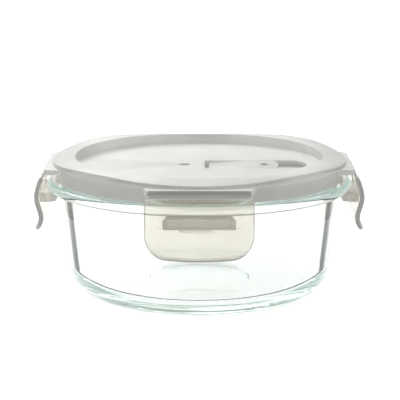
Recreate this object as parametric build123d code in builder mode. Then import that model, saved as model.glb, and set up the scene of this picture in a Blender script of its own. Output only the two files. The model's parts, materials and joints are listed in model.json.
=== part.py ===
from build123d import *
import os

# Round glass storage container with a four-flap snap lid and a lift-up steam vent.
# Millimetres, +Z up, origin at the centre of the face it stands on, front flap towards -Y.

# ---------------------------------------------------------------- glass bowl
flange_radius = 86.8
rim_height = 66.0
flange_thickness = 5.5
flange_reach = 8.5
wall_draft = 0.08
wall_thickness = 3.4
cavity_draft = 0.10
heel_radius = 17.0
floor_thickness = 8.2
cavity_corner_radius = 10.0
rim_edge_radius = 1.0
flange_root_radius = 1.2
foot_recess_radius = 28.0
foot_recess_depth = 0.7

# ---------------------------------------------------------------- lid shell
lid_rise = 13.0
rim_width = 12.8
recess_depth = 6.1
recess_wall_lean = 0.6
flange_showing = 4.9
lip_overhang = 1.5
lip_drop = 2.3
lip_height = 2.0
facet_inset = 4.2
skirt_thickness = 1.8
shell_thickness = 1.8
crown_edge_radius = 0.9
lip_edge_radius = 0.7
panel_foot_radius = 1.0
collar_setback = 0.6
collar_thickness = 2.0
collar_depth = 2.6
rib_thickness = 1.2
seal_groove_width = 5.2
seal_groove_depth = 4.5
rib_clearance = 0.6
seal_stop_count = 24
seal_stop_width = 1.4
seat_clearance = 0.4
gate_dimple_radius = 3.4
gate_dimple_depth = 0.9
gate_dimple_x = -8.4

# ---------------------------------------------------------------- silicone seal
seal_side_clearance = 0.3
seal_notch_depth = 1.2
seal_notch_width = 1.6

# ---------------------------------------------------------------- hinge lugs and flaps
flap_count = 4
flap_width = 58.0
lug_inset = 0.1
lug_rise = 0.3
lug_height = 3.1
lug_corner_radius = 4.0
lug_gusset_radius = 7.0
lug_gusset_reach = 5.0
lug_edge_radius = 0.9
lug_seat_overlap = 0.9
hinge_gap = 0.35
pivot_gap = 0.4
flap_thickness = 2.8
flap_belly = 5.3
flap_waist = 2.9
flap_tip = 7.0
flap_length = 33.2
flap_tip_radius = 0.8
flap_corner_radius = 10.5
flap_sag = 2.2
flap_window_width = 46.0
flap_window_depth = 0.5
flap_window_height = 14.0
bar_root_width = 39.0
bar_tip_width = 35.0
bar_height = 5.4
bar_clearance = 0.4
bar_tip_clearance = 1.2
bar_undercut_height = 3.4
bar_undercut_depth = 1.5

# ---------------------------------------------------------------- steam vent
slot_start = 3.1
slot_margin = 8.4
slot_width = 24.4
slot_end_bulge = 6.4
slot_depth = 3.2
slot_wall = 1.5
slot_floor = 1.4
lever_gap = 0.4
scoop_length = 16.4
lever_thickness = 1.4
lever_ramp_margin = 7.2
lever_end_bulge = 2.4
lever_corner_radius = 2.0
barrel_radius = 0.8
barrel_floor_gap = 0.3
trunnion_radius = 0.55
trunnion_length = 0.9
trunnion_fit = 0.05
trunnion_end_gap = 0.3
plug_inset = 8.1
plug_stem_radius = 1.1
plug_head_radius = 1.6
plug_head_height = 0.4
plug_pad_radius = 3.6
plug_nipple_radius = 1.6
plug_nipple_length = 1.1
plug_nipple_clearance = 0.4
grip_mark_offset = 5.0
grip_mark_radius = 1.2
grip_mark_depth = 0.5

# ---------------------------------------------------------------- shared places
flange_underside = rim_height - flange_thickness
wall_top_radius = flange_radius - flange_reach
cavity_top_radius = wall_top_radius - wall_thickness
skirt_radius = flange_radius - flange_showing
skirt_inner_radius = skirt_radius - skirt_thickness
skirt_bottom = rim_height + seat_clearance
lip_radius = skirt_radius + lip_overhang
crown_radius = lip_radius - rim_width
crown_height = rim_height + lid_rise
lip_top = crown_height - lip_drop
lip_underside = lip_top - lip_height
panel_radius = crown_radius - recess_wall_lean
panel_top = crown_height - recess_depth
panel_underside = panel_top - shell_thickness
collar_inner_radius = panel_radius + collar_setback
collar_radius = collar_inner_radius + collar_thickness
collar_bottom = rim_height - collar_depth
rib_inner_radius = collar_radius + seal_groove_width
rib_radius = rib_inner_radius + rib_thickness
rib_bottom = skirt_bottom + rib_clearance
facet_start = crown_radius - facet_inset
rim_slope = lip_drop / (lip_radius - facet_start)
seal_bottom = rim_height + seat_clearance
seal_top = seal_bottom + seal_groove_depth - seat_clearance
stop_bottom = seal_bottom + seal_groove_depth

lug_reach = flange_radius - lug_inset
lug_root_radius = skirt_radius - lug_seat_overlap
lug_top = lip_underside + lug_rise
lug_bottom = lug_top - lug_height
pivot_radius = lug_reach + pivot_gap
pivot_height = lug_bottom - hinge_gap
flap_top = pivot_height - hinge_gap
flap_bottom = flap_top - flap_length

slot_floor_top = panel_top - slot_depth
slot_end = panel_radius - slot_margin
slot_straight_end = slot_end - slot_end_bulge
lever_width = slot_width - 2 * lever_gap
lever_pivot_x = slot_start + 2 * lever_gap + 3 * barrel_radius
lever_pivot_z = slot_floor_top + barrel_floor_gap + barrel_radius
lever_end = slot_end - scoop_length
lever_underside = panel_top - lever_thickness
plug_x = lever_end - plug_inset
lever_ramp_end = plug_x - plug_pad_radius - lever_ramp_margin
vent_hole_radius = plug_nipple_radius + plug_nipple_clearance


# The shell's underside is one shell thickness below the rim's sloping facets.
def rim_underside(radius):
    return crown_height - rim_slope * (radius - facet_start) - shell_thickness


# ================================================================ glass bowl
foot_radius = wall_top_radius - wall_draft * flange_underside
cavity_low_radius = cavity_top_radius - cavity_draft * (rim_height - floor_thickness)
bead_radius = flange_thickness / 2


# The ring edges of a turned part that lie at one height.
def rings_at(piece, height):
    rings = piece.edges().filter_by(GeomType.CIRCLE)
    return rings.filter_by_position(Axis.Z, height - 0.01, height + 0.01).sort_by(SortBy.RADIUS)


with BuildPart() as glass_bowl:
    with BuildSketch(Plane.XZ):
        with BuildLine():
            Polyline(
                (flange_radius - bead_radius, rim_height),
                (cavity_top_radius, rim_height),
                (cavity_low_radius, floor_thickness),
                (0, floor_thickness),
                (0, foot_recess_depth),
                (foot_recess_radius, foot_recess_depth),
                (foot_recess_radius + 2 * foot_recess_depth, 0),
                (foot_radius, 0),
                (wall_top_radius, flange_underside),
                (flange_radius - bead_radius, flange_underside),
            )
            ThreePointArc(
                (flange_radius - bead_radius, flange_underside),
                (flange_radius, rim_height - bead_radius),
                (flange_radius - bead_radius, rim_height),
            )
        make_face()
    revolve(axis=Axis.Z)
    fillet(rings_at(glass_bowl, 0)[-1], heel_radius)
    fillet(rings_at(glass_bowl, floor_thickness)[-1], cavity_corner_radius)
    fillet(rings_at(glass_bowl, rim_height)[0], rim_edge_radius)
    fillet(rings_at(glass_bowl, flange_underside)[0], flange_root_radius)
glass_bowl.part.label = "glass_bowl"


# ================================================================ lid
# Plan of the vent slot, or of the pocket around it when it is grown by the wall.
def slot_plan(grow):
    half = slot_width / 2 + grow
    with BuildSketch(Plane.XY) as plan:
        with BuildLine():
            Polyline(
                (slot_straight_end, half),
                (slot_start - grow, half),
                (slot_start - grow, -half),
                (slot_straight_end, -half),
            )
            ThreePointArc(
                (slot_straight_end, -half),
                (slot_end + grow, 0),
                (slot_straight_end, half),
            )
        make_face()
    return plan.sketch


slot_opening = slot_plan(0)
slot_pocket = slot_plan(slot_wall)

# The corners of a turned section that lie at one radius.
def corners_at(section, radius):
    return section.vertices().filter_by_position(Axis.X, radius - 0.01, radius + 0.01)


# How far a corner of the lug plan stands out along its own lug.
def corner_reach(corner):
    return max(abs(corner.X), abs(corner.Y))


# The strips across the lid that the lugs and their gussets lie in.
with BuildSketch(Plane.XY) as lug_strips:
    with PolarLocations(lug_reach / 2, flap_count):
        Rectangle(lug_reach, flap_width + 2 * lug_gusset_reach)

with BuildPart() as rim_facet:
    with BuildSketch(Plane.XZ):
        with BuildLine():
            Polyline(
                (facet_start, crown_height),
                (2 * lip_radius - facet_start, crown_height),
                (2 * lip_radius - facet_start, crown_height - 2 * lip_drop),
                close=True,
            )
        make_face()
    extrude(amount=lip_radius, both=True)

with BuildPart() as lid:
    # Four straight hinge lugs stand out of the round skirt, one for each flap.
    with BuildSketch(Plane.XY.offset(lug_bottom)) as lug_plan:
        Circle(lip_radius)
        with PolarLocations(lug_reach / 2, flap_count):
            Rectangle(lug_reach, flap_width)
        outer_corners = [v for v in lug_plan.vertices() if corner_reach(v) > lug_reach - 0.01]
        inner_corners = [v for v in lug_plan.vertices() if corner_reach(v) < lug_reach - 0.01]
        fillet(outer_corners, lug_corner_radius)
        fillet(inner_corners, lug_gusset_radius)
        Circle(lug_root_radius, mode=Mode.SUBTRACT)
        add(lug_strips.sketch, mode=Mode.INTERSECT)
    extrude(amount=lug_height)
    lug_top_edges = lid.edges().group_by(Axis.Z)[-1]
    fillet(
        [
            edge
            for edge in lug_top_edges
            if edge.geom_type != GeomType.CIRCLE or edge.radius < lug_root_radius - 1
        ],
        lug_edge_radius,
    )

    # The round shell: panel, recess wall, flat rim, lip, skirt, seal rib and collar.
    with BuildSketch(Plane.XZ) as shell_section:
        with BuildLine():
            Polyline(
                (0, panel_top),
                (panel_radius, panel_top),
                (crown_radius, crown_height),
                (lip_radius, crown_height),
                (lip_radius, lip_underside),
                (skirt_radius, lip_underside),
                (skirt_radius, skirt_bottom),
                (skirt_inner_radius, skirt_bottom),
                (skirt_inner_radius, rim_underside(skirt_inner_radius)),
                (rib_radius, rim_underside(rib_radius)),
                (rib_radius, rib_bottom),
                (rib_inner_radius, rib_bottom),
                (rib_inner_radius, rim_underside(rib_inner_radius)),
                (collar_radius, rim_underside(collar_radius)),
                (collar_radius, collar_bottom),
                (collar_inner_radius, collar_bottom),
                (collar_inner_radius, panel_underside),
                (0, panel_underside),
                close=True,
            )
        make_face()
        fillet(corners_at(shell_section, crown_radius), crown_edge_radius)
        fillet(corners_at(shell_section, panel_radius), panel_foot_radius)
        fillet(corners_at(shell_section, lip_radius), lip_edge_radius)
    revolve(axis=Axis.Z)

    # Above each lug a flat facet takes the rim down to a thinner lip.
    with PolarLocations(0, flap_count):
        add(rim_facet.part, mode=Mode.SUBTRACT)

    # Short radial stops across the seal groove hold the seal down on the rim.
    with BuildSketch(Plane.XY.offset(stop_bottom)):
        with PolarLocations((collar_radius + rib_inner_radius) / 2, seal_stop_count, start_angle=7.5):
            Rectangle(seal_groove_width + 0.4, seal_stop_width)
    extrude(amount=rim_underside(rib_inner_radius) - stop_bottom + 0.3)

    # Vent pocket hung under the panel, then the slot cut down into it.
    with BuildSketch(Plane.XY.offset(slot_floor_top - slot_floor)):
        add(slot_pocket)
    extrude(until=Until.NEXT)
    with BuildSketch(Plane.XY.offset(slot_floor_top)):
        add(slot_opening)
    extrude(amount=slot_depth, mode=Mode.SUBTRACT)

    # Blind sockets for the vent lever's trunnions, one in each side of the slot.
    with BuildSketch(Plane.XZ):
        with Locations((lever_pivot_x, lever_pivot_z)):
            Circle(trunnion_radius + trunnion_fit)
    extrude(amount=lever_width / 2 + trunnion_length + trunnion_end_gap, both=True, mode=Mode.SUBTRACT)

    with BuildSketch(Plane.XY.offset(slot_floor_top)):
        with Locations((plug_x, 0)):
            Circle(vent_hole_radius)
    extrude(amount=-slot_floor, mode=Mode.SUBTRACT)

    with BuildSketch(Plane.XY.offset(panel_top)):
        with Locations((gate_dimple_x, 0)):
            Circle(gate_dimple_radius)
    extrude(amount=-gate_dimple_depth, mode=Mode.SUBTRACT)
lid.part.label = "lid"


# ================================================================ lid seal
seal_inner_radius = collar_radius + seal_side_clearance
seal_outer_radius = rib_inner_radius - seal_side_clearance
seal_middle = (seal_inner_radius + seal_outer_radius) / 2

with BuildPart() as lid_seal:
    with BuildSketch(Plane.XZ):
        with BuildLine():
            Polyline(
                (seal_inner_radius, seal_bottom),
                (seal_middle - seal_notch_width / 2, seal_bottom),
                (seal_middle, seal_bottom + seal_notch_depth),
                (seal_middle + seal_notch_width / 2, seal_bottom),
                (seal_outer_radius, seal_bottom),
                (seal_outer_radius, seal_top),
                (seal_inner_radius, seal_top),
                close=True,
            )
        make_face()
    revolve(axis=Axis.Z)
lid_seal.part.label = "lid_seal"


# ================================================================ locking flaps
# The plate's outer face, as distances out from the pivot and down from the flap's top.
plate_outer_face = [
    (pivot_radius + 1.9, flap_top - 1.1),
    (pivot_radius + flap_belly, flap_top - 0.36 * flap_length),
    (pivot_radius + flap_waist, flap_top - 0.73 * flap_length),
    (pivot_radius + flap_tip, flap_bottom),
]


# The plate's inner face: as the outer one, but it starts under the pivot.
plate_inner_face = [(pivot_radius - 0.1, flap_top - 2.4)]
for reach, height in plate_outer_face[1:]:
    plate_inner_face.append((reach - flap_thickness, height))


# A face of the plate as a curve in the section plane, moved outwards by a distance.
def face_curve(face, outwards=0):
    return Spline(*[(-(reach + outwards), height) for reach, height in face])


bar_top = flange_underside - bar_clearance
bar_bottom = bar_top - bar_height
bar_tip = wall_top_radius + bar_tip_clearance
bar_root = pivot_radius + flap_belly - flap_thickness / 2
window_bottom = flap_top - 1.6 - flap_window_height

with BuildPart() as front_flap:
    # Section through the plate, then its outline as seen from the front.
    with BuildSketch(Plane.YZ) as plate_section:
        with BuildLine():
            outer = face_curve(plate_outer_face)
            inner = face_curve(plate_inner_face)
            Polyline(outer @ 0, (-(pivot_radius - 0.1), flap_top), inner @ 0)
            Line(outer @ 1, inner @ 1)
        make_face()
        fillet(plate_section.vertices().group_by(Axis.Y)[0], flap_tip_radius)
    extrude(amount=flap_width / 2, both=True)
    with BuildSketch(Plane.XZ):
        with BuildLine():
            Polyline(
                (-flap_width / 2, flap_bottom + flap_sag),
                (-flap_width / 2, flap_top + 1),
                (flap_width / 2, flap_top + 1),
                (flap_width / 2, flap_bottom + flap_sag),
            )
            ThreePointArc(
                (flap_width / 2, flap_bottom + flap_sag),
                (0, flap_bottom),
                (-flap_width / 2, flap_bottom + flap_sag),
            )
        outline = make_face()
        fillet(outline.vertices().group_by(Axis.Y)[0], flap_corner_radius)
    extrude(amount=pivot_radius + 20, mode=Mode.INTERSECT)

    # A shallow window thins the plate over the rim of the glass.
    with BuildSketch(Plane.YZ):
        with BuildLine():
            deep = face_curve(plate_inner_face, flap_window_depth)
            near = face_curve(plate_inner_face, -1)
            Line(deep @ 0, near @ 0)
            Line(deep @ 1, near @ 1)
        make_face()
        with Locations((-pivot_radius, window_bottom + flap_window_height / 2)):
            Rectangle(40, flap_window_height, mode=Mode.INTERSECT)
    extrude(amount=flap_window_width / 2, both=True, mode=Mode.SUBTRACT)

    # The locking bar reaches in under the flange.
    with BuildSketch(Plane.XY.offset(bar_bottom)):
        with BuildLine():
            Polyline(
                (-bar_root_width / 2, -bar_root),
                (-bar_tip_width / 2, -bar_tip),
                (bar_tip_width / 2, -bar_tip),
                (bar_root_width / 2, -bar_root),
                close=True,
            )
        make_face()
    extrude(amount=bar_height)
    tip_edge = front_flap.edges().filter_by(Axis.X).sort_by(Axis.Y)[-2:].sort_by(Axis.Z)[0]
    chamfer(tip_edge, bar_undercut_depth, bar_undercut_height)

# The four flaps are the same moulding, a quarter turn apart.
flaps = {}
for position, name in enumerate(["front_flap", "right_flap", "rear_flap", "left_flap"]):
    flap = Rot(0, 0, position * 360 / flap_count) * front_flap.part
    flap.label = name
    flaps[name] = flap


# ================================================================ vent lever
with BuildPart() as vent_lever:
    with BuildSketch(Plane.XZ):
        with BuildLine():
            Polyline(
                (lever_pivot_x, lever_pivot_z + barrel_radius),
                (lever_ramp_end, panel_top),
                (lever_end, panel_top),
                (lever_end, lever_underside),
                (lever_ramp_end, lever_underside),
                (lever_pivot_x, lever_pivot_z - 0.2),
                close=True,
            )
        make_face()
        with Locations((lever_pivot_x, lever_pivot_z)):
            Circle(barrel_radius)
    extrude(amount=lever_width / 2, both=True)
    with BuildSketch(Plane.XY.offset(slot_floor_top)):
        with BuildLine():
            Polyline(
                (lever_end - lever_end_bulge, lever_width / 2),
                (lever_pivot_x - 2 * barrel_radius, lever_width / 2),
                (lever_pivot_x - 2 * barrel_radius, -lever_width / 2),
                (lever_end - lever_end_bulge, -lever_width / 2),
            )
            ThreePointArc(
                (lever_end - lever_end_bulge, -lever_width / 2),
                (lever_end, 0),
                (lever_end - lever_end_bulge, lever_width / 2),
            )
        lever_plan = make_face()
        fillet(lever_plan.vertices().group_by(Axis.X)[-1], lever_corner_radius)
    extrude(amount=slot_depth, mode=Mode.INTERSECT)
    with BuildSketch(Plane.XZ):
        with Locations((lever_pivot_x, lever_pivot_z)):
            Circle(trunnion_radius)
    extrude(amount=lever_width / 2 + trunnion_length, both=True)
    with BuildSketch(Plane.XY.offset(panel_top)):
        with Locations((plug_x, 0)):
            Circle(plug_stem_radius)
    extrude(amount=-lever_thickness, mode=Mode.SUBTRACT)
    with BuildSketch(Plane.XY.offset(panel_top)):
        with Locations((plug_x + grip_mark_offset, 0)):
            Circle(grip_mark_radius)
    extrude(amount=-grip_mark_depth, mode=Mode.SUBTRACT)
vent_lever.part.label = "vent_lever"


# ================================================================ vent plug
# Silicone button: a head on the lever, a stem through it, a pad and a nipple in the vent hole.
with BuildPart() as vent_plug:
    with BuildSketch(Plane.XZ):
        with BuildLine():
            Polyline(
                (0, panel_top + plug_head_height),
                (plug_head_radius, panel_top + plug_head_height),
                (plug_head_radius, panel_top),
                (plug_stem_radius, panel_top),
                (plug_stem_radius, lever_underside),
                (plug_pad_radius, lever_underside),
                (plug_pad_radius, slot_floor_top + lever_gap),
                (plug_nipple_radius, slot_floor_top + lever_gap),
                (plug_nipple_radius * 0.8, slot_floor_top - plug_nipple_length),
                (0, slot_floor_top - plug_nipple_length),
                close=True,
            )
        make_face()
    revolve(axis=Axis.Z)
vent_plug.part = Pos(plug_x, 0, 0) * vent_plug.part
vent_plug.part.label = "vent_plug"


# ================================================================ files
os.makedirs("parts", exist_ok=True)
export_step(glass_bowl.part, "parts/glass_bowl.step")
export_step(lid.part, "parts/lid.step")
export_step(lid_seal.part, "parts/lid_seal.step")
for name, flap in flaps.items():
    export_step(flap, f"parts/{name}.step")
export_step(vent_lever.part, "parts/vent_lever.step")
export_step(vent_plug.part, "parts/vent_plug.step")
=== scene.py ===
import bpy
import bmesh
import json
import math
from mathutils import Matrix, Vector


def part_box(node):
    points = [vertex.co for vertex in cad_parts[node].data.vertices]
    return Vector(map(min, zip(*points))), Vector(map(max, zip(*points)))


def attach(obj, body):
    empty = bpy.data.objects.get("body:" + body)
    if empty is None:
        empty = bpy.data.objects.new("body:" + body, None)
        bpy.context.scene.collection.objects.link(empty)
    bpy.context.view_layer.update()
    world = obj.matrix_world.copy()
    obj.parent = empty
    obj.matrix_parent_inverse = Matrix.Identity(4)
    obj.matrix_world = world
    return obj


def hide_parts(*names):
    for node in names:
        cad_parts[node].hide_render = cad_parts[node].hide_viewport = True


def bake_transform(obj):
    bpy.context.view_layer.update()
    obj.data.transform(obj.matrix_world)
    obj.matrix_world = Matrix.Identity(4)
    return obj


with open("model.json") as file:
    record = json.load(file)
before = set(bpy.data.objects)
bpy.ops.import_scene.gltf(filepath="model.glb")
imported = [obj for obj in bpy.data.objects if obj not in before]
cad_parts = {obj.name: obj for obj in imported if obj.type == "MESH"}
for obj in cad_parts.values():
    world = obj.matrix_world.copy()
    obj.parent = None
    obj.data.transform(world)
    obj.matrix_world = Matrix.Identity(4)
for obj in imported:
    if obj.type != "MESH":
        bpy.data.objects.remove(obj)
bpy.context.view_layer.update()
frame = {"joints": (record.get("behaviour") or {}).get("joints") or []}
mm = 0.001
scene = bpy.context.scene
print("frame loaded")

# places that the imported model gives
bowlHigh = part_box("glass_bowl")[1]
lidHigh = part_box("lid")[1]
flapLow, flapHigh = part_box("front_flap")
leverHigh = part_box("vent_lever")[1]
plugX = sum(corner.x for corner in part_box("vent_plug")) / 2
hinges = {joint["child"]: joint for joint in frame["joints"]}
flapHinge = hinges["front_flap_body"]["pos_m"]
ventHinge = hinges["vent_body"]["pos_m"]

# ---- camera
view = {
    "distance": 0.98,
    "elevation": math.radians(11.8),
    "aim": Vector((0.0004, 0.0, 0.052)),
    "lens": 153.4,
}


def makeCamera():
    data = bpy.data.cameras.new("camera")
    data.lens = view["lens"]
    data.sensor_width = 36
    camera = bpy.data.objects.new("camera", data)
    back = Vector((0, -math.cos(view["elevation"]), math.sin(view["elevation"])))
    camera.location = view["aim"] + back * view["distance"]
    camera.rotation_euler = (-back).to_track_quat("-Z", "Y").to_euler()
    scene.collection.objects.link(camera)
    scene.camera = camera


makeCamera()
print("camera set")


# ---- mesh helpers
def makePiece(name, mesh, material, smoothAngle=35):
    piece = bpy.data.objects.new(name, mesh)
    scene.collection.objects.link(piece)
    mesh.materials.clear()
    mesh.materials.append(material)
    mesh.shade_smooth()
    mesh.set_sharp_from_angle(angle=math.radians(smoothAngle))
    return piece


def meshFrom(name, build):
    mesh = bpy.data.meshes.new(name)
    bmesh.ops.recalc_face_normals(build, faces=build.faces)
    build.to_mesh(mesh)
    build.free()
    return mesh


# Corners are (r, z) or (r, z, radius): each radius becomes an arc of the same number of steps.
def roundedPath(corners, steps=6):
    path = []
    for i, corner in enumerate(corners):
        here = Vector(corner[:2])
        if len(corner) < 3 or i in (0, len(corners) - 1):
            path.append(here)
            continue
        toBack = (Vector(corners[i - 1][:2]) - here).normalized()
        toNext = (Vector(corners[i + 1][:2]) - here).normalized()
        half = toBack.angle(toNext) / 2
        room = 0.45 * min((Vector(near[:2]) - here).length for near in (corners[i - 1], corners[i + 1]))
        reach = min(corner[2] / math.tan(half), room)
        centre = here + (toBack + toNext).normalized() * (reach / math.cos(half))
        start = here + toBack * reach - centre
        turn = start.angle_signed(here + toNext * reach - centre)
        for k in range(steps + 1):
            path.append(centre + Matrix.Rotation(-turn * k / steps, 2) @ start)
    return path


# Columns are (angle, path): paths of one length, each starting and ending on the axis or closing on itself.
def ringMesh(name, columns, closed=False):
    build = bmesh.new()
    grid = []
    poles = {}
    for angle, path in columns:
        column = []
        for k, (r, z) in enumerate(path):
            if r < 1e-6:
                if k not in poles:
                    poles[k] = build.verts.new((0, 0, z))
                column.append(poles[k])
            else:
                column.append(build.verts.new((r * math.sin(angle), -r * math.cos(angle), z)))
        grid.append(column)
    rows = len(grid[0])
    for i, column in enumerate(grid):
        beside = grid[(i + 1) % len(grid)]
        for k in range(rows if closed else rows - 1):
            n = (k + 1) % rows
            corners = []
            for v in (column[k], column[n], beside[n], beside[k]):
                if v not in corners:
                    corners.append(v)
            if len(corners) > 2:
                build.faces.new(corners)
    return meshFrom(name, build)


def lathe(name, path, segments=240, closed=False):
    columns = [(2 * math.pi * i / segments, path) for i in range(segments)]
    return ringMesh(name, columns, closed)


def scaled(corners):
    return [tuple(value * mm for value in corner) for corner in corners]


# A flat outline in one plane, pushed along the third axis to make a closed solid.
def prism(name, outline, low, high, axis="Z"):
    build = bmesh.new()
    place = {
        "Z": lambda a, b, c: (a, b, c),
        "Y": lambda a, b, c: (a, c, b),
        "X": lambda a, b, c: (c, a, b),
    }[axis]
    ends = [[build.verts.new(place(a, b, c)) for a, b in outline] for c in (low, high)]
    build.faces.new(ends[0])
    build.faces.new(reversed(ends[1]))
    for i in range(len(outline)):
        n = (i + 1) % len(outline)
        build.faces.new((ends[0][i], ends[0][n], ends[1][n], ends[1][i]))
    return meshFrom(name, build)


# A number on every point of a mesh, for the material to read.
def markPoints(mesh, name, value):
    marks = mesh.attributes.new(name, "FLOAT", "POINT")
    for point, mark in zip(mesh.vertices, marks.data):
        mark.value = value(point.co)


def circlePoints(x, y, radius, steps=48):
    turns = [2 * math.pi * i / steps for i in range(steps)]
    return [(x + radius * math.cos(turn), y + radius * math.sin(turn)) for turn in turns]


def joinSolids(piece, mesh, operation):
    tool = bpy.data.objects.new("tool", mesh)
    scene.collection.objects.link(tool)
    change = piece.modifiers.new("cut", "BOOLEAN")
    change.operation = operation
    change.object = tool
    change.solver = "EXACT"
    applyModifiers(piece)
    bpy.data.objects.remove(tool)


def applyModifiers(piece):
    graph = bpy.context.evaluated_depsgraph_get()
    graph.update()
    mesh = bpy.data.meshes.new_from_object(piece.evaluated_get(graph))
    piece.modifiers.clear()
    piece.data = mesh


def softenEdges(piece, width, segments=3, angle=40):
    bevel = piece.modifiers.new("edge", "BEVEL")
    bevel.width = width
    bevel.segments = segments
    bevel.limit_method = "ANGLE"
    bevel.angle_limit = math.radians(angle)
    applyModifiers(piece)
    piece.data.shade_smooth()
    piece.data.set_sharp_from_angle(angle=math.radians(angle))


# ---- materials
def newMaterial(name):
    material = bpy.data.materials.new(name)
    material.use_nodes = True
    tree = material.node_tree
    tree.nodes.clear()
    output = tree.nodes.new("ShaderNodeOutputMaterial")
    return material, tree, output


def addNoise(tree, scale, detail=3.0, roughness=0.5, stretch=None):
    coords = tree.nodes.new("ShaderNodeTexCoord")
    noise = tree.nodes.new("ShaderNodeTexNoise")
    noise.inputs["Scale"].default_value = scale
    noise.inputs["Detail"].default_value = detail
    noise.inputs["Roughness"].default_value = roughness
    if stretch:
        mapping = tree.nodes.new("ShaderNodeMapping")
        mapping.inputs["Scale"].default_value = stretch
        tree.links.new(coords.outputs["Object"], mapping.inputs["Vector"])
        tree.links.new(mapping.outputs["Vector"], noise.inputs["Vector"])
    else:
        tree.links.new(coords.outputs["Object"], noise.inputs["Vector"])
    return noise.outputs["Fac"]


def spread(tree, value, low, high):
    span = tree.nodes.new("ShaderNodeMapRange")
    span.inputs["From Min"].default_value = 0.3
    span.inputs["From Max"].default_value = 0.7
    span.inputs["To Min"].default_value = low
    span.inputs["To Max"].default_value = high
    tree.links.new(value, span.inputs["Value"])
    return span.outputs["Result"]


def tint(tree, value, low, high):
    ramp = tree.nodes.new("ShaderNodeValToRGB")
    ramp.color_ramp.elements[0].position = 0.3
    ramp.color_ramp.elements[0].color = (*low, 1)
    ramp.color_ramp.elements[1].position = 0.7
    ramp.color_ramp.elements[1].color = (*high, 1)
    tree.links.new(value, ramp.inputs["Fac"])
    return ramp.outputs["Color"]


def addBump(tree, height, strength, distance, normal=None):
    bump = tree.nodes.new("ShaderNodeBump")
    bump.inputs["Strength"].default_value = strength
    bump.inputs["Distance"].default_value = distance
    tree.links.new(height, bump.inputs["Height"])
    if normal:
        tree.links.new(normal, bump.inputs["Normal"])
    return bump.outputs["Normal"]


# Lamps pass through a clear piece instead of leaving a black shadow under it.
def letLampsThrough(tree, shader, output, veil):
    path = tree.nodes.new("ShaderNodeLightPath")
    clear = tree.nodes.new("ShaderNodeBsdfTransparent")
    clear.inputs["Color"].default_value = veil
    mix = tree.nodes.new("ShaderNodeMixShader")
    tree.links.new(path.outputs["Is Shadow Ray"], mix.inputs["Fac"])
    tree.links.new(shader, mix.inputs[1])
    tree.links.new(clear.outputs["BSDF"], mix.inputs[2])
    tree.links.new(mix.outputs["Shader"], output.inputs["Surface"])


glassLook = {
    "ior": 1.474,
    "body": (0.975, 0.985, 0.978, 1),
    "absorb": (0.62, 0.94, 0.84, 1),
    "density": 3.0,
    "wipeScale": 60.0,    # faint wiping marks
    "wipe": (0.0, 0.012),
    "waveScale": 32.0,    # the slow waviness of pressed glass
    "wave": 0.25,
    "waveHeight": 0.0002,
    "turnFrom": 0.268,    # the painted dark band, in steps of Facing just past the critical angle
    "turnTo": 0.287,
    # colour of the painted dark band: a dark diffuse that stands in for the dark room
    "room": (0.10, 0.13, 0.14, 1),
    # after this many bounces a ray in the glass ends on a painted pale green glow of the colour below
    "bounces": 14,
    "glow": (0.56, 0.63, 0.60, 1),
    "veil": (0.97, 0.985, 0.98, 1),
}


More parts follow.
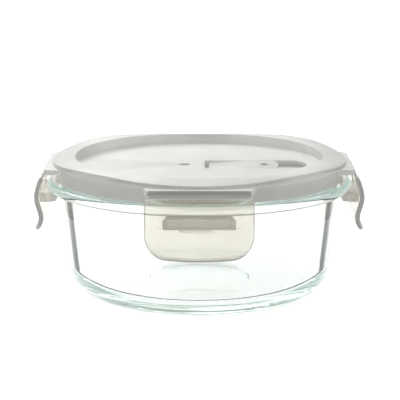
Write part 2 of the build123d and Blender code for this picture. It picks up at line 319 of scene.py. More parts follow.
def pressedGlass():
    material, tree, output = newMaterial("pressed_glass")
    glass = tree.nodes.new("ShaderNodeBsdfPrincipled")
    glass.inputs["Base Color"].default_value = glassLook["body"]
    glass.inputs["IOR"].default_value = glassLook["ior"]
    glass.inputs["Transmission Weight"].default_value = 1.0
    wipe = addNoise(tree, glassLook["wipeScale"], 4.0)
    tree.links.new(spread(tree, wipe, *glassLook["wipe"]), glass.inputs["Roughness"])
    ripple = addNoise(tree, glassLook["waveScale"], 1.0)
    wave = addBump(tree, ripple, glassLook["wave"], glassLook["waveHeight"])
    tree.links.new(wave, glass.inputs["Normal"])
    # painted dark band: just past the critical angle on the cavity wall a dark diffuse colour is painted
    # in, in place of the dark of the room that the turned-back light would show
    angle = tree.nodes.new("ShaderNodeLayerWeight")
    angle.inputs["Blend"].default_value = 0.5
    paintedDarkBand = tree.nodes.new("ShaderNodeValToRGB")
    stops = paintedDarkBand.color_ramp.elements
    stops[0].position, stops[0].color = glassLook["turnFrom"] - 0.004, (0, 0, 0, 1)
    stops[1].position, stops[1].color = glassLook["turnTo"] + 0.008, (0, 0, 0, 1)
    for position in (glassLook["turnFrom"], glassLook["turnTo"]):
        stops.new(position).color = (1, 1, 1, 1)
    tree.links.new(angle.outputs["Facing"], paintedDarkBand.inputs["Fac"])
    side = tree.nodes.new("ShaderNodeNewGeometry")
    cavity = tree.nodes.new("ShaderNodeAttribute")
    cavity.attribute_name = "cavity"
    onWall = tree.nodes.new("ShaderNodeMath")
    onWall.operation = "MULTIPLY"
    tree.links.new(side.outputs["Backfacing"], onWall.inputs[0])
    tree.links.new(cavity.outputs["Fac"], onWall.inputs[1])
    # where the painted dark band falls: inside the Facing band and on the back of the cavity wall
    inside = tree.nodes.new("ShaderNodeMath")
    inside.operation = "MULTIPLY"
    tree.links.new(paintedDarkBand.outputs["Color"], inside.inputs[0])
    tree.links.new(onWall.outputs["Value"], inside.inputs[1])
    room = tree.nodes.new("ShaderNodeBsdfDiffuse")
    room.inputs["Color"].default_value = glassLook["room"]
    edge = tree.nodes.new("ShaderNodeMixShader")
    tree.links.new(inside.outputs["Value"], edge.inputs["Fac"])
    tree.links.new(glass.outputs["BSDF"], edge.inputs[1])
    tree.links.new(room.outputs["BSDF"], edge.inputs[2])
    # painted glow: a ray past the bounce limit ends on a pale green emission instead of being followed on
    depth = tree.nodes.new("ShaderNodeLightPath")
    pastBounceLimit = tree.nodes.new("ShaderNodeMath")
    pastBounceLimit.operation = "GREATER_THAN"
    tree.links.new(depth.outputs["Ray Depth"], pastBounceLimit.inputs[0])
    pastBounceLimit.inputs[1].default_value = glassLook["bounces"]
    glow = tree.nodes.new("ShaderNodeEmission")
    glow.inputs["Color"].default_value = glassLook["glow"]
    deep = tree.nodes.new("ShaderNodeMixShader")
    tree.links.new(pastBounceLimit.outputs["Value"], deep.inputs["Fac"])
    tree.links.new(edge.outputs["Shader"], deep.inputs[1])
    tree.links.new(glow.outputs["Emission"], deep.inputs[2])
    letLampsThrough(tree, deep.outputs["Shader"], output, glassLook["veil"])
    body = tree.nodes.new("ShaderNodeVolumeAbsorption")
    body.inputs["Color"].default_value = glassLook["absorb"]
    body.inputs["Density"].default_value = glassLook["density"]
    tree.links.new(body.outputs["Volume"], output.inputs["Volume"])
    return material


# through is the share of the light that passes on through the wall
finishes = {
    "frosted_lid_plastic": {
        "dark": (0.80, 0.80, 0.78), "light": (0.87, 0.87, 0.85), "through": 0.3, "rough": (0.30, 0.42),
    },
    "lever_plastic": {
        "dark": (0.80, 0.80, 0.785), "light": (0.87, 0.87, 0.855), "through": 0.45, "rough": (0.30, 0.42),
    },
    "seal_silicone": {
        "dark": (0.80, 0.81, 0.80), "light": (0.86, 0.87, 0.86), "through": 0.6, "rough": (0.38, 0.5),
    },
    "plug_silicone": {
        "dark": (0.24, 0.24, 0.235), "light": (0.31, 0.31, 0.30), "through": 0.1, "rough": (0.4, 0.52),
    },
}

frost = {
    "ior": 1.49,
    "cloudScale": 38.0,
    "roughScale": 120.0,
    "grainScale": 1600.0,   # the fine grain of the mould
    "grain": 0.00003,
    "sinkScale": 22.0,      # slow hollows over the moulded wall
    "sink": 0.0002,
    # the dark grey that painted shade mixes into the plastic's colour
    "shade": (0.30, 0.30, 0.295, 1),
    "veil": (0.55, 0.55, 0.54, 1),
}


def frostedPlastic(name):
    look = finishes[name]
    material, tree, output = newMaterial(name)
    plastic = tree.nodes.new("ShaderNodeBsdfPrincipled")
    # painted shade: a 'shade' value on the mesh mixes the colour towards the dark grey
    shaded = tree.nodes.new("ShaderNodeAttribute")
    shaded.attribute_name = "shade"
    paint = tree.nodes.new("ShaderNodeMix")
    paint.data_type = "RGBA"
    tree.links.new(shaded.outputs["Fac"], paint.inputs["Factor"])
    mottle = addNoise(tree, frost["cloudScale"], 5.0, 0.55)
    tree.links.new(tint(tree, mottle, look["dark"], look["light"]), paint.inputs["A"])
    paint.inputs["B"].default_value = frost["shade"]
    cloud = paint.outputs["Result"]
    tree.links.new(cloud, plastic.inputs["Base Color"])
    wear = addNoise(tree, frost["roughScale"], 3.0)
    tree.links.new(spread(tree, wear, *look["rough"]), plastic.inputs["Roughness"])
    plastic.inputs["IOR"].default_value = frost["ior"]
    grain = addBump(tree, addNoise(tree, frost["grainScale"], 2.0), 0.35, frost["grain"])
    sink = addBump(tree, addNoise(tree, frost["sinkScale"], 1.0), 0.3, frost["sink"], grain)
    tree.links.new(sink, plastic.inputs["Normal"])
    glow = tree.nodes.new("ShaderNodeBsdfTranslucent")
    tree.links.new(cloud, glow.inputs["Color"])
    milk = tree.nodes.new("ShaderNodeMixShader")
    milk.inputs["Fac"].default_value = look["through"]
    tree.links.new(plastic.outputs["BSDF"], milk.inputs[1])
    tree.links.new(glow.outputs["BSDF"], milk.inputs[2])
    letLampsThrough(tree, milk.outputs["Shader"], output, frost["veil"])
    return material


flapLook = {
    "low": (0.83, 0.80, 0.73),
    "high": (0.87, 0.845, 0.78),
    "cloudScale": 45.0,
    "roughness": (0.07, 0.12),
    "roughScale": 160.0,
    "ior": 1.30,
    "clear": 0.97,
    "flowScale": 30.0,   # flow lines, drawn out along the plate
    "flow": 0.00025,
    "milk": 0.15,        # share of soft scattered light in the clear plastic
    # the grey painted on the thick edges and the webs as painted shade
    "edgeLow": (0.56, 0.555, 0.55),
    "edgeHigh": (0.63, 0.625, 0.62),
    "edgeScale": 70.0,
    "bar": (0.92, 0.90, 0.87, 1),
    "veil": (0.88, 0.87, 0.84, 1),
}


def clearPlastic():
    material, tree, output = newMaterial("clear_flap_plastic")
    plastic = tree.nodes.new("ShaderNodeBsdfPrincipled")
    cloud = tint(tree, addNoise(tree, flapLook["cloudScale"], 4.0), flapLook["low"], flapLook["high"])
    tree.links.new(cloud, plastic.inputs["Base Color"])
    rough = spread(tree, addNoise(tree, flapLook["roughScale"], 3.0), *flapLook["roughness"])
    tree.links.new(rough, plastic.inputs["Roughness"])
    plastic.inputs["IOR"].default_value = flapLook["ior"]
    plastic.inputs["Transmission Weight"].default_value = flapLook["clear"]
    flow = addBump(tree, addNoise(tree, flapLook["flowScale"], 2.0, 0.5, (1, 1, 3)), 0.3, flapLook["flow"])
    tree.links.new(flow, plastic.inputs["Normal"])
    glow = tree.nodes.new("ShaderNodeBsdfTranslucent")
    tree.links.new(cloud, glow.inputs["Color"])
    milk = tree.nodes.new("ShaderNodeMixShader")
    milk.inputs["Fac"].default_value = flapLook["milk"]
    tree.links.new(plastic.outputs["BSDF"], milk.inputs[1])
    tree.links.new(glow.outputs["BSDF"], milk.inputs[2])
    # painted shade: the thick edges are painted an opaque grey in place of the darker surroundings that
    # thick clear plastic refracts, and the bar reads as solid in its own pale colour
    solid = tree.nodes.new("ShaderNodeBsdfPrincipled")
    grey = tint(tree, addNoise(tree, flapLook["edgeScale"], 3.0), flapLook["edgeLow"], flapLook["edgeHigh"])
    onBar = tree.nodes.new("ShaderNodeAttribute")
    onBar.attribute_name = "bar"
    paint = tree.nodes.new("ShaderNodeMix")
    paint.data_type = "RGBA"
    tree.links.new(onBar.outputs["Fac"], paint.inputs["Factor"])
    tree.links.new(grey, paint.inputs["A"])
    paint.inputs["B"].default_value = flapLook["bar"]
    tree.links.new(paint.outputs["Result"], solid.inputs["Base Color"])
    solid.inputs["Roughness"].default_value = 0.3
    thick = tree.nodes.new("ShaderNodeAttribute")
    thick.attribute_name = "thick"
    whole = tree.nodes.new("ShaderNodeMixShader")
    tree.links.new(thick.outputs["Fac"], whole.inputs["Fac"])
    tree.links.new(milk.outputs["Shader"], whole.inputs[1])
    tree.links.new(solid.outputs["BSDF"], whole.inputs[2])
    letLampsThrough(tree, whole.outputs["Shader"], output, flapLook["veil"])
    return material


glassMaterial = pressedGlass()
lidMaterial = frostedPlastic("frosted_lid_plastic")
leverMaterial = frostedPlastic("lever_plastic")
sealMaterial = frostedPlastic("seal_silicone")
plugMaterial = frostedPlastic("plug_silicone")
flapMaterial = clearPlastic()
print("materials made")

# ---- glass bowl
bowl = {
    "flange": 5.5,       # thickness of the rim flange
    "flangeReach": 8.5,  # how far it stands out of the wall
    "draft": 0.08,
    "wall": 3.4,
    "cavityDraft": 0.10,
    "floor": 8.2,
    "heel": 17.0,
    "cavityCorner": 10.0,
    "rimEdge": 1.0,
    "rootFillet": 1.2,
    "footRadius": 28.0,
    "footDepth": 0.7,
}


def makeBowl():
    flangeR, rim = bowlHigh.x / mm, bowlHigh.z / mm
    under = rim - bowl["flange"]
    wallTop = flangeR - bowl["flangeReach"]
    cavityTop = wallTop - bowl["wall"]
    bead = bowl["flange"] / 2 - 0.02
    corners = [
        (0, bowl["floor"]),
        (cavityTop - bowl["cavityDraft"] * (rim - bowl["floor"]), bowl["floor"], bowl["cavityCorner"]),
        (cavityTop, rim, bowl["rimEdge"]),
        (flangeR, rim, bead),
        (flangeR, under, bead),
        (wallTop, under, bowl["rootFillet"]),
        (wallTop - bowl["draft"] * under, 0, bowl["heel"]),
        (bowl["footRadius"] + 2 * bowl["footDepth"], 0, 1.4),
        (bowl["footRadius"], bowl["footDepth"], 1.4),
        (0, bowl["footDepth"]),
    ]
    mesh = lathe("glassBowl", roundedPath(scaled(corners), 14), 300)

    def onCavity(place):
        z = place.z / mm
        radius = math.hypot(place.x, place.y) / mm
        return z > bowl["floor"] - 0.1 and radius < cavityTop - bowl["cavityDraft"] * (rim - z) + 0.3

    # marks the cavity wall, where the glass material paints its dark band
    markPoints(mesh, "cavity", lambda place: 1.0 if onCavity(place) else 0.0)
    piece = makePiece("glassBowl", mesh, glassMaterial, 50)
    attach(piece, "bowl")
    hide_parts("glass_bowl")


makeBowl()
print("bowl made")

# ---- lid
lid = {
    "crownRadius": 70.6,
    "crown": 79.0,
    "recessDepth": 6.1,
    "recessLean": 0.6,
    "facetStart": 66.4,   # distance from the axis where the slope down to a lug begins
    "facetSlope": 0.1353,
    "lipRadius": 83.4,
    "lipBottom": 74.7,
    "groove": 0.7,        # shadow line under the rim's edge
    "grooveSteps": (0.5, 0.8, 1.2, 1.5),
    "facetBlend": 0.02,   # how softly the slope leaves the level rim
    "facetLift": 0.03,
    "skirtRadius": 81.9,
    "skirt": 1.8,
    "shell": 1.8,
    "skirtBottom": 66.4,
    "collarInner": 70.6,
    "collar": 2.0,
    "collarBottom": 63.4,
    "ribInner": 77.8,
    "rib": 1.2,
    "ribBottom": 67.0,
    "lugTop": 75.0,
    "lugBottom": 71.9,
    "lugHalfWidth": 29.0,
    "lugCorner": 3.5,
    "gusset": 7.0,
    "lugShade": 0.75,     # how dark the painted shade makes the hinge faces and the slopes
    "facetShade": 0.2,
}


# One eighth of the lid's outline, from a lug's middle to half way between two lugs:
# (angle, reach of the lug, share of lug).
def outlineEighth():
    reach, half = lidHigh.x / mm, lid["lugHalfWidth"]
    corner, gusset, lip = lid["lugCorner"], lid["gusset"], lid["lipRadius"]
    points = []
    for i in range(13):
        points.append(((half - corner) * i / 12, reach, 1.0))
    for i in range(1, 9):
        turn = math.pi / 2 * i / 8
        across, out = corner * math.sin(turn), corner * math.cos(turn)
        points.append((half - corner + across, reach - corner + out, 1.0))
    centreX = half + gusset
    centreY = math.sqrt((lip + gusset) ** 2 - centreX ** 2)
    sweep = math.atan2(centreY, centreX)
    for i in range(0, 11):
        turn = math.pi + sweep * i / 10
        ease = 1 - i / 10
        points.append((
            centreX + gusset * math.cos(turn),
            centreY + gusset * math.sin(turn),
            ease * ease * (3 - 2 * ease),
        ))
    eighth = [(math.atan2(x, y), math.hypot(x, y), share) for x, y, share in points]
    last = eighth[-1][0]
    for i in range(1, 16):
        eighth.append((last + (math.pi / 4 - last) * i / 15, lip, 0.0))
    return eighth


def lidOutline():
    eighth = outlineEighth()
    back = [(-angle, radius, share) for angle, radius, share in reversed(eighth[1:-1])]
    quarter = back + eighth
    return [(angle, k, radius, share) for k in range(4) for angle, radius, share in quarter]


# The rim is level between the lugs and slopes down towards each of them.
def rimHeight(radius, angle):
    drop = lid["facetSlope"] * (radius * math.cos(angle) - lid["facetStart"])
    return lid["crown"] - (drop + math.sqrt(drop * drop + lid["facetBlend"])) / 2 + lid["facetLift"]


def lidPath(angle, reach, share):
    panelTop = lid["crown"] - lid["recessDepth"]
    lipR = lid["lipRadius"]
    lugReach = max(reach, lipR + 0.02)
    lugBottom = lid["lipBottom"] + (lid["lugBottom"] - lid["lipBottom"]) * share
    skirtInner = lid["skirtRadius"] - lid["skirt"]
    ribOuter = lid["ribInner"] + lid["rib"]
    collarOuter = lid["collarInner"] + lid["collar"]
    rim = rimHeight(lipR, angle)
    first, second, third, last = (rim - step for step in lid["grooveSteps"])

    def roof(r):
        return lid["crown"] - lid["facetSlope"] * (r - lid["facetStart"]) - lid["shell"]

    corners = [
        (0, panelTop),
        (lid["crownRadius"] - lid["recessLean"], panelTop, 1.0),
        (lid["crownRadius"], rimHeight(lid["crownRadius"], angle), 0.6),
        (lipR, rim, 0.3),
        (lipR, first, 0.2),
        (lipR - lid["groove"], second, 0.15),
        (lipR - lid["groove"], third, 0.15),
        (lipR, last, 0.2),
        (lipR, lid["lugTop"], 0.1),
        (lugReach, lid["lugTop"], 0.8),
        (lugReach, lugBottom, 0.35),
        (lid["skirtRadius"], lugBottom, 0.3),
        (lid["skirtRadius"], lid["skirtBottom"], 0.4),
        (skirtInner, lid["skirtBottom"], 0.4),
        (skirtInner, roof(skirtInner), 0.3),
        (ribOuter, roof(ribOuter), 0.3),
        (ribOuter, lid["ribBottom"], 0.3),
        (lid["ribInner"], lid["ribBottom"], 0.3),
        (lid["ribInner"], roof(lid["ribInner"]), 0.3),
        (collarOuter, roof(collarOuter), 0.3),
        (collarOuter, lid["collarBottom"], 0.5),
        (lid["collarInner"], lid["collarBottom"], 0.5),
        (lid["collarInner"], panelTop - lid["shell"], 0.6),
        (0, panelTop - lid["shell"]),
    ]
    return roundedPath(scaled(corners), 5)


vent = {
    "start": 3.1,
    "end": 61.6,
    "bulge": 6.4,
    "width": 24.4,
    "depth": 3.2,
    "wall": 1.5,
    "floor": 1.4,
    "plugHole": 2.0,
    "dimpleX": -8.4,
    "dimpleRadius": 3.4,
    "dimpleDepth": 0.9,
    # how dark the painted shade makes the slot's walls and floor
    "shade": 0.45,
}


# A straight-sided slot with one square end and one bulged end.
def slotOutline(grow, steps=24):
    half = vent["width"] / 2 + grow
    end = vent["end"] + grow
    straight = vent["end"] - vent["bulge"]
    bulge = end - straight
    radius = (half * half + bulge * bulge) / (2 * bulge)
    sweep = math.asin(min(1.0, half / radius))
    points = [(vent["start"] - grow, half), (vent["start"] - grow, -half)]
    for i in range(steps + 1):
        turn = -sweep + 2 * sweep * i / steps
        points.append((end - radius + radius * math.cos(turn), radius * math.sin(turn)))
    return scaled(points)


def makeLid():
    columns = [
        (angle + k * math.pi / 2, lidPath(angle, reach, share))
        for angle, k, reach, share in lidOutline()
    ]
    piece = makePiece("lidShell", ringMesh("lidShell", columns), lidMaterial)
    panelTop = lid["crown"] - lid["recessDepth"]
    floorTop = panelTop - vent["depth"]
    pocketLow, pocketHigh = (floorTop - vent["floor"]) * mm, (panelTop - 0.6) * mm
    pocket = prism("pocket", slotOutline(vent["wall"]), pocketLow, pocketHigh)
    joinSolids(piece, pocket, "UNION")
    slot = prism("slot", slotOutline(0), floorTop * mm, (panelTop + 2) * mm)
    joinSolids(piece, slot, "DIFFERENCE")
    bore = circlePoints(plugX, 0, vent["plugHole"] * mm)
    hole = prism("hole", bore, (floorTop - 4) * mm, (floorTop + 1) * mm)
    joinSolids(piece, hole, "DIFFERENCE")
    dimple = prism(
        "dimple",
        circlePoints(vent["dimpleX"] * mm, 0, vent["dimpleRadius"] * mm),
        (panelTop - vent["dimpleDepth"]) * mm,
        (panelTop + 1) * mm,
    )
    joinSolids(piece, dimple, "DIFFERENCE")
    softenEdges(piece, 0.3 * mm, 2, 42)
    piece.data.materials.clear()
    piece.data.materials.append(lidMaterial)

    # painted shade: the hinge faces of the lugs, the slopes above them and the slot are darkened towards
    # grey, for the shade under the rim, the slopes turned from the light and the hollow of the slot
    def shadeAt(place):
        z = place.z / mm
        if max(abs(place.x), abs(place.y)) > lidHigh.x - 0.3 * mm and z < lid["lugTop"] - 0.2:
            return lid["lugShade"]
        reach = max(abs(place.x), abs(place.y)) / mm
        radius = math.hypot(place.x, place.y) / mm
        if radius > lid["crownRadius"] - 0.2 and z > lid["lugTop"] + 0.1:
            return max(0.0, min(lid["facetShade"], 0.04 * (reach - lid["facetStart"] + 1)))
        inPanel = radius < lid["crownRadius"] - 5
        if inPanel and floorTop - 0.1 < z < panelTop - 0.4:
            return vent["shade"]
        return 0.0

    markPoints(piece.data, "shade", shadeAt)
    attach(piece, "lid_body")
    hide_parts("lid")


makeLid()
print("lid made")

# ---- seal
seal = {"inner": 72.9, "outer": 77.5, "bottom": 66.4, "top": 70.5, "notch": 1.2, "notchWidth": 1.6}


def makeSeal():
    middle = (seal["inner"] + seal["outer"]) / 2
    corners = [
        (seal["inner"], (seal["bottom"] + seal["top"]) / 2),
        (seal["inner"], seal["bottom"], 0.5),
        (middle - seal["notchWidth"] / 2, seal["bottom"], 0.2),
        (middle, seal["bottom"] + seal["notch"], 0.3),
        (middle + seal["notchWidth"] / 2, seal["bottom"], 0.2),
        (seal["outer"], seal["bottom"], 0.5),
        (seal["outer"], seal["top"], 0.4),
        (seal["inner"], seal["top"], 0.4),
        (seal["inner"], (seal["bottom"] + seal["top"]) / 2 + 0.1),
    ]
    mesh = lathe("sealRing", roundedPath(scaled(corners), 4), 200, True)
    piece = makePiece("sealRing", mesh, sealMaterial, 50)
    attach(piece, "lid_body")
    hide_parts("lid_seal")


makeSeal()
print("seal made")

# ---- flaps, modelled at the front and turned into place
flap = {
    "halfWidth": 29.0,
    "thickness": 2.8,
    "root": 0.4,        # how far outside the hinge axis the plate starts
    "taper": 2.4,       # height over which its top thins towards the hinge
    "corner": 10.5,
    "topCorner": 1.2,
    "sag": 2.2,
    "length": 33.2,
    "belly": 5.3,
    "bellyAt": 0.36,    # share of the length, from the top
    "waist": 2.9,
    "waistAt": 0.73,
    "tip": 7.0,
    "edge": 1.1,        # how far in the rounded edge reaches
    "barRoot": 19.5,
    "barTip": 17.5,
    "barHeight": 5.4,
    "barTop": 60.1,
    "barReach": 79.5,
    "windowHalfWidth": 23.0,
    "windowDepth": 0.5,
    "windowTop": 69.6,
    "windowBottom": 55.6,
    "web": 0.7,         # the film hinge between the lug and the plate
    "webHalfWidth": 26.0,
}


# The plate's middle surface from top to tip, as (height, distance from the lid's axis).
def plateKnots():
    top = flapHigh.z / mm
    pivot = -flapHinge[1] / mm
    half = flap["thickness"] / 2
    return [
        (top, pivot + flap["root"]),
        (top - flap["bellyAt"] * flap["length"], pivot + flap["belly"] - half),
        (top - flap["waistAt"] * flap["length"], pivot + flap["waist"] - half),
        (top - flap["length"], pivot + flap["tip"] - half),
    ]


# A smooth curve through the knots, by height.
def curveAt(knots, z):
    count = len(knots)
    slopes = []
    for i in range(count):
        a, b = knots[max(0, i - 1)], knots[min(count - 1, i + 1)]
        slopes.append((b[1] - a[1]) / (b[0] - a[0]))
    slopes[0] = 1.5 * (knots[1][1] - knots[0][1]) / (knots[1][0] - knots[0][0]) - 0.5 * slopes[1]
    slopes[-1] = 1.5 * (knots[-1][1] - knots[-2][1]) / (knots[-1][0] - knots[-2][0]) - 0.5 * slopes[-2]
    for i in range(count - 1):
        if z >= knots[i + 1][0] or i == count - 2:
            span = knots[i + 1][0] - knots[i][0]
            t = (z - knots[i][0]) / span
            h00, h10 = 2 * t ** 3 - 3 * t ** 2 + 1, t ** 3 - 2 * t ** 2 + t
            h01, h11 = -2 * t ** 3 + 3 * t ** 2, t ** 3 - t ** 2
            return (h00 * knots[i][1] + h10 * span * slopes[i]
                    + h01 * knots[i + 1][1] + h11 * span * slopes[i + 1])


# The outline seen from the front, moved inwards by a distance. Every ring has the same number of points.
def flapRing(inward):
    half = flap["halfWidth"] - inward
    top = flapHigh.z / mm - inward
    bottom = flapLow.z / mm + inward
    corner = max(0.4, flap["corner"] - inward)
    topCorner = max(0.3, flap["topCorner"] - inward)
    sag = flap["sag"] * half / flap["halfWidth"]
    side = bottom + sag
    points = []
    for i in range(5):  # top right corner
        turn = math.pi / 2 * i / 4
        across, up = topCorner * math.sin(turn), topCorner * math.cos(turn)
        points.append((half - topCorner + across, top - topCorner + up))
    low = side + corner
    for i in range(1, 20):
        points.append((half, top - topCorner + (low - top + topCorner) * i / 20))
    for i in range(13):
        turn = math.pi / 2 * i / 12
        points.append((half - corner + corner * math.cos(turn), low - corner * math.sin(turn)))
    inner = half - corner
    for i in range(1, 36):
        points.append((inner - 2 * inner * i / 36, side))
    for i in range(13):
        turn = math.pi / 2 * i / 12
        points.append((-inner - corner * math.sin(turn), low - corner * math.cos(turn)))
    for i in range(1, 20):
        points.append((-half, low + (top - topCorner - low) * i / 20))
    for i in range(5):
        turn = math.pi / 2 * i / 4
        across, up = topCorner * math.cos(turn), topCorner * math.sin(turn)
        points.append((-half + topCorner - across, top - topCorner + up))
    for i in range(1, 36):
        points.append((-half + topCorner + 2 * (half - topCorner) * i / 36, top))
    # the lower edge sags towards its middle
    ring = []
    for x, z in points:
        depth = max(0.0, min(1.0, (low + 6 - z) / (corner + 6)))
        ring.append((x, z - sag * (1 - (x / half) ** 2) * depth * depth))
    return ring


def plateMesh(name):
    build = bmesh.new()
    knots = plateKnots()
    rounding = flap["edge"]
    insets = [0, 0.04, 0.14, 0.3, 0.52, 0.8, rounding] + [rounding + 1.15 * k for k in range(1, 12)]
    sheets = []
    for face in (1, -1):
        rings = []
        for inset in insets:
            share = min(1.0, inset / rounding)
            lift = flap["thickness"] / 2 * math.sqrt(max(0.0, 1 - (1 - share) ** 2))
            ring = []
            for x, z in flapRing(inset):
                slope = (curveAt(knots, z + 0.05) - curveAt(knots, z - 0.05)) / 0.1
                thin = min(1.0, 0.35 + 0.65 * (flapHigh.z / mm - z) / flap["taper"])
                away = Vector((1, -slope)).normalized() * lift * thin * face
                ring.append((x, curveAt(knots, z) + away.x, z + away.y))
            rings.append(ring)
        sheets.append(rings)
    edge = None
    for rings in sheets:
        layers = []
        for k, ring in enumerate(rings):
            if k == 0 and edge:
                layers.append(edge)
                continue
            layers.append([build.verts.new((x * mm, -r * mm, z * mm)) for x, r, z in ring])
        edge = layers[0]
        count = len(edge)
        for a, b in zip(layers, layers[1:]):
            for i in range(count):
                build.faces.new((a[i], a[(i + 1) % count], b[(i + 1) % count], b[i]))
        build.faces.new(layers[-1])
    bmesh.ops.triangulate(build, faces=[f for f in build.faces if len(f.verts) > 4])
    return meshFrom(name, build)


def barMesh(name):
    top, low = flap["barTop"], flap["barTop"] - flap["barHeight"]
    root = curveAt(plateKnots(), (top + low) / 2)
    build = bmesh.new()
    tipR, cut = flap["barReach"], 1.5
    section = [(root, top), (tipR, top), (tipR, top - 2.0), (tipR + cut, low), (root, low)]
    ends = []
    for side in (-1, 1):
        end = []
        for r, z in section:
            width = flap["barTip"] + (flap["barRoot"] - flap["barTip"]) * (r - tipR) / (root - tipR)
            end.append(build.verts.new((side * mm * width, -r * mm, z * mm)))
        ends.append(end)
    build.faces.new(ends[0])
    build.faces.new(reversed(ends[1]))
    for i in range(5):
        build.faces.new((ends[0][i], ends[0][(i + 1) % 5], ends[1][(i + 1) % 5], ends[1][i]))
    return meshFrom(name, build)


# The shallow window in the plate's inner face.
def windowMesh(name):
    knots = plateKnots()
    inner, outer = [], []
    for i in range(15):
        z = flap["windowBottom"] + (flap["windowTop"] - flap["windowBottom"]) * i / 14
        face = curveAt(knots, z) - flap["thickness"] / 2
        outer.append((-face - flap["windowDepth"], z))
        inner.append((3 - face, z))
    half = flap["windowHalfWidth"] * mm
    return prism(name, scaled(outer + inner[::-1]), -half, half, "X")


flapTurns = {"front": 0, "right": 90, "rear": 180, "left": 270}


def turned(mesh, degrees):
    copy = mesh.copy()
    copy.transform(Matrix.Rotation(math.radians(degrees), 4, "Z"))
    return copy


def makeFlaps():
    plate = makePiece("plate", plateMesh("plate"), flapMaterial, 60)
    joinSolids(plate, windowMesh("window"), "DIFFERENCE")
    bar = makePiece("bar", barMesh("bar"), flapMaterial)
    softenEdges(bar, 0.7 * mm, 3)
    joinSolids(plate, bar.data, "UNION")
    bpy.data.objects.remove(bar)
    plate.data.shade_smooth()
    plate.data.set_sharp_from_angle(angle=math.radians(50))
    rim = [Vector(point) * mm for point in flapRing(0)]
    knots = plateKnots()

    def onBar(place):
        z = place.z / mm
        behind = -place.y / mm < curveAt(knots, z) - flap["thickness"] / 2 - 0.15
        return behind and flap["barTop"] - flap["barHeight"] - 0.5 < z < flap["barTop"] + 0.5

    # how much opaque colour is painted on: painted grey shade on the rounded edges, the bar's own solid
    # colour, not the clear plate
    def thickness(place):
        if onBar(place):
            return 0.9
        away = min((Vector((place.x, place.z)) - point).length for point in rim) / mm
        return max(0.0, min(0.9, 1.5 - away / 0.6))

    markPoints(plate.data, "thick", thickness)
    markPoints(plate.data, "bar", lambda place: 1.0 if onBar(place) else 0.0)
    for side, degrees in flapTurns.items():
        mesh = turned(plate.data, degrees)
        mesh.materials.clear()
        mesh.materials.append(flapMaterial)
        piece = bpy.data.objects.new(side + "Flap", mesh)
        scene.collection.objects.link(piece)
        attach(piece, side + "_flap_body")
        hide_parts(side + "_flap")
    bpy.data.objects.remove(plate)


# Thin webs from the lugs to the tops of the flaps.
def makeWebs():
    face, pivotZ = lidHigh.x / mm, flapHinge[2] / mm
    foot = curveAt(plateKnots(), flapHigh.z / mm)
    thick = flap["web"]
    steps = 8
    outer, inner = [], []
    for i in range(steps + 1):
        t = i / steps
        ease = t * t * (3 - 2 * t)
        r = face - 0.1 + (foot - 0.35 - face) * ease
        z = pivotZ + 1.1 - 2.0 * t
        inner.append((-r, z))
        outer.append((-r - thick, z - 0.1))
    half = flap["webHalfWidth"]
    strips = 24
    build = bmesh.new()
    section = outer + inner[::-1]
    rows = []
    for k in range(strips + 1):
        x = (-1 + 2 * k / strips) * half
        rows.append([build.verts.new((x * mm, y * mm, z * mm)) for y, z in section])
    build.faces.new(rows[0])
    build.faces.new(reversed(rows[-1]))
    for a, b in zip(rows, rows[1:]):
        for i in range(len(section)):
            n = (i + 1) % len(section)
            build.faces.new((a[i], a[n], b[n], b[i]))
    web = meshFrom("web", build)
    # painted shade: the webs take the flaps' opaque painted grey
    markPoints(web, "thick", lambda place: 0.9)
    for side, degrees in flapTurns.items():
        piece = makePiece(side + "Web", turned(web, degrees), flapMaterial, 50)
        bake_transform(piece)


makeFlaps()
makeWebs()
print("flaps made")

# ---- vent lever and plug
lever = {
    "thickness": 1.4,
    "barrel": 0.8,
    "gap": 0.4,
    "bulge": 2.4,
    "rampEnd": 26.3,
    "markX": 42.2,
    "mark": 1.2,
    "pin": 0.55,
    "pinReach": 0.9,
}


def makeLever():
    top = lid["crown"] - lid["recessDepth"]
    pivotX, pivotZ = ventHinge[0] / mm, ventHinge[2] / mm
    end = leverHigh.x / mm
    half = vent["width"] / 2 - lever["gap"]
    barrel = []
    for i in range(13):
        turn = math.pi / 2 + math.pi * i / 12
        across, up = lever["barrel"] * math.cos(turn), lever["barrel"] * math.sin(turn)
        barrel.append((pivotX + across, pivotZ + up))
    side = barrel + [
        (lever["rampEnd"], top - lever["thickness"]),
        (end, top - lever["thickness"]),
        (end, top),
        (lever["rampEnd"], top),
    ]
    mesh = prism("ventLever", scaled(side), -half * mm, half * mm, "Y")
    piece = makePiece("ventLever", mesh, leverMaterial)
    radius = (half ** 2 + lever["bulge"] ** 2) / (2 * lever["bulge"])
    sweep = math.asin(half / radius)
    plan = [(0, half + 1), (0, -half - 1)]
    for i in range(25):
        turn = -sweep + 2 * sweep * i / 24
        plan.append((end - radius + radius * math.cos(turn), radius * math.sin(turn)))
    joinSolids(piece, prism("plan", scaled(plan), (top - 4) * mm, (top + 1) * mm), "INTERSECT")
    spot = circlePoints(lever["markX"] * mm, 0, lever["mark"] * mm)
    dot = prism("dot", spot, (top - 0.5) * mm, (top + 1) * mm)
    joinSolids(piece, dot, "DIFFERENCE")
    axle = circlePoints(pivotX * mm, pivotZ * mm, lever["pin"] * mm, 24)
    pinEnd = (half + lever["pinReach"]) * mm
    pin = prism("pin", axle, -pinEnd, pinEnd, "Y")
    joinSolids(piece, pin, "UNION")
    softenEdges(piece, 0.25 * mm, 2, 42)
    piece.data.materials.clear()
    piece.data.materials.append(leverMaterial)
    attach(piece, "vent_body")
    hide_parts("vent_lever")


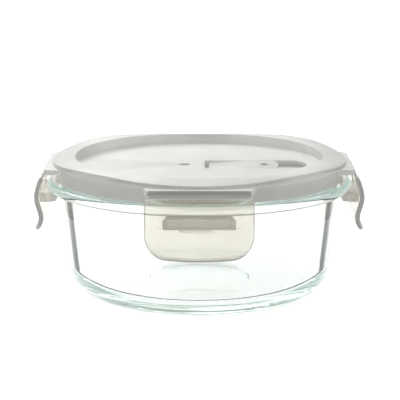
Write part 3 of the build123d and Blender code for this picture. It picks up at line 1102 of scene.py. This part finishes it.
def makePlug():
    top = lid["crown"] - lid["recessDepth"]
    under = top - lever["thickness"]
    floorTop = top - vent["depth"]
    corners = [
        (0, top + 0.4),
        (1.6, top + 0.4, 0.25),
        (1.6, top + 0.02, 0.1),
        (1.1, top + 0.02),
        (1.1, under),
        (3.6, under, 0.2),
        (3.6, floorTop + 0.4, 0.4),
        (1.6, floorTop + 0.4, 0.3),
        (1.3, floorTop - 1.1, 0.4),
        (0, floorTop - 1.1),
    ]
    mesh = lathe("ventPlug", roundedPath(scaled(corners), 4), 48)
    mesh.transform(Matrix.Translation((plugX, 0, 0)))
    piece = makePiece("ventPlug", mesh, plugMaterial, 50)
    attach(piece, "vent_body")
    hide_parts("vent_plug")


makeLever()
makePlug()
print("vent made")

# ---- floor, lamps and surroundings
studio = {
    "floor": (0.93, 0.93, 0.93),
    "floorGlow": 0.42,
    "gap": 0.0002,        # thin air film under the foot
    "sky": 1.0,
    "zenith": 0.86,       # what the room gives to matt surfaces, from above and from the side
    "horizon": 0.24,
    "bounce": 0.5,
    "flag": 0.45,         # brightness of the darker cards that the glass mirrors
    "flagAngle": 35.0,
    "flagWidth": 11.0,
    "flagFall": 1.6,      # how fast a card ends above and below the horizon
    "flagEdge": 2.2,
}


def makeFloor():
    size = 3.0
    build = bmesh.new()
    build.faces.new([
        build.verts.new((x * size, y * size, 0)) for x, y in ((-1, -1), (1, -1), (1, 1), (-1, 1))
    ])
    material, tree, output = newMaterial("studio_floor")
    paper = tree.nodes.new("ShaderNodeBsdfPrincipled")
    pale = studio["floor"]
    cloud = tint(tree, addNoise(tree, 3.0), tuple(c * 0.985 for c in pale), pale)
    tree.links.new(cloud, paper.inputs["Base Color"])
    paper.inputs["Roughness"].default_value = 0.85
    paper.inputs["Emission Color"].default_value = (1, 1, 1, 1)
    paper.inputs["Emission Strength"].default_value = studio["floorGlow"]
    dim = tree.nodes.new("ShaderNodeBsdfDiffuse")
    dim.inputs["Color"].default_value = (studio["bounce"], studio["bounce"], studio["bounce"], 1)
    path = tree.nodes.new("ShaderNodeLightPath")
    mix = tree.nodes.new("ShaderNodeMixShader")
    tree.links.new(path.outputs["Is Diffuse Ray"], mix.inputs["Fac"])
    tree.links.new(paper.outputs["BSDF"], mix.inputs[1])
    tree.links.new(dim.outputs["BSDF"], mix.inputs[2])
    tree.links.new(mix.outputs["Shader"], output.inputs["Surface"])
    floor = makePiece("studioFloor", meshFrom("studioFloor", build), material)
    floor.location.z = -studio["gap"]


def makeWorld():
    world = bpy.data.worlds.new("studio")
    scene.world = world
    world.use_nodes = True
    tree = world.node_tree
    tree.nodes.clear()
    output = tree.nodes.new("ShaderNodeOutputWorld")
    light = tree.nodes.new("ShaderNodeBackground")
    plain = tree.nodes.new("ShaderNodeBackground")
    plain.inputs["Color"].default_value = (1, 1, 1, 1)
    plain.inputs["Strength"].default_value = 1.0
    coords = tree.nodes.new("ShaderNodeTexCoord")
    split = tree.nodes.new("ShaderNodeSeparateXYZ")
    tree.links.new(coords.outputs["Generated"], split.inputs["Vector"])

    def maths(operation, first, second=None):
        node = tree.nodes.new("ShaderNodeMath")
        node.operation = operation
        for i, value in enumerate((first, second)):
            if value is None:
                continue
            if isinstance(value, (int, float)):
                node.inputs[i].default_value = value
            else:
                tree.links.new(value, node.inputs[i])
        return node.outputs["Value"]

    # upright dark cards each side of the four square-on directions
    turn = maths("ARCTAN2", split.outputs["X"], split.outputs["Y"])
    quarter = maths("PINGPONG", turn, math.pi / 4)
    off = maths("ABSOLUTE", maths("SUBTRACT", quarter, math.radians(studio["flagAngle"])))
    card = maths("SUBTRACT", 1.0, maths("DIVIDE", off, math.radians(studio["flagWidth"])))
    height = maths("ABSOLUTE", split.outputs["Z"])
    low = maths("SUBTRACT", 1.0, maths("MULTIPLY", height, studio["flagFall"]))
    dark = maths("MULTIPLY", maths("MAXIMUM", card, 0.0), maths("MAXIMUM", low, 0.0))
    smooth = maths("MINIMUM", maths("MULTIPLY", dark, studio["flagEdge"]), 1.0)
    level = maths("SUBTRACT", studio["sky"], maths("MULTIPLY", smooth, studio["sky"] - studio["flag"]))
    tree.links.new(level, light.inputs["Strength"])
    light.inputs["Color"].default_value = (1, 1, 1, 1)
    path = tree.nodes.new("ShaderNodeLightPath")
    mix = tree.nodes.new("ShaderNodeMixShader")
    tree.links.new(path.outputs["Is Camera Ray"], mix.inputs["Fac"])
    tree.links.new(light.outputs["Background"], mix.inputs[1])
    tree.links.new(plain.outputs["Background"], mix.inputs[2])
    soft = tree.nodes.new("ShaderNodeBackground")
    soft.inputs["Color"].default_value = (1, 1, 1, 1)
    rise = maths("MAXIMUM", split.outputs["Z"], 0.0)
    fall = maths("ADD", studio["horizon"], maths("MULTIPLY", rise, studio["zenith"] - studio["horizon"]))
    tree.links.new(fall, soft.inputs["Strength"])
    matt = tree.nodes.new("ShaderNodeMixShader")
    tree.links.new(path.outputs["Is Diffuse Ray"], matt.inputs["Fac"])
    tree.links.new(mix.outputs["Shader"], matt.inputs[1])
    tree.links.new(soft.outputs["Background"], matt.inputs[2])
    tree.links.new(matt.outputs["Shader"], output.inputs["Surface"])


def makeLamp(name, place, size, power):
    data = bpy.data.lights.new(name, "AREA")
    data.shape = "RECTANGLE"
    data.size, data.size_y = size
    data.energy = power
    lamp = bpy.data.objects.new(name, data)
    lamp.location = place
    lamp.rotation_euler = (Vector((0, 0, 0.05)) - Vector(place)).to_track_quat("-Z", "Y").to_euler()
    scene.collection.objects.link(lamp)


makeFloor()
makeWorld()
makeLamp("overhead", (-0.5, 1.0, 0.95), (1.2, 1.0), 12.0)
scene.view_settings.view_transform = "Standard"
# light turns back inside the thick flange and the base many times, and each turn counts as glossy
scene.cycles.max_bounces = 24
scene.cycles.diffuse_bounces = 6
scene.cycles.glossy_bounces = 24
scene.cycles.transmission_bounces = 24
scene.cycles.transparent_max_bounces = 24
print("studio made")
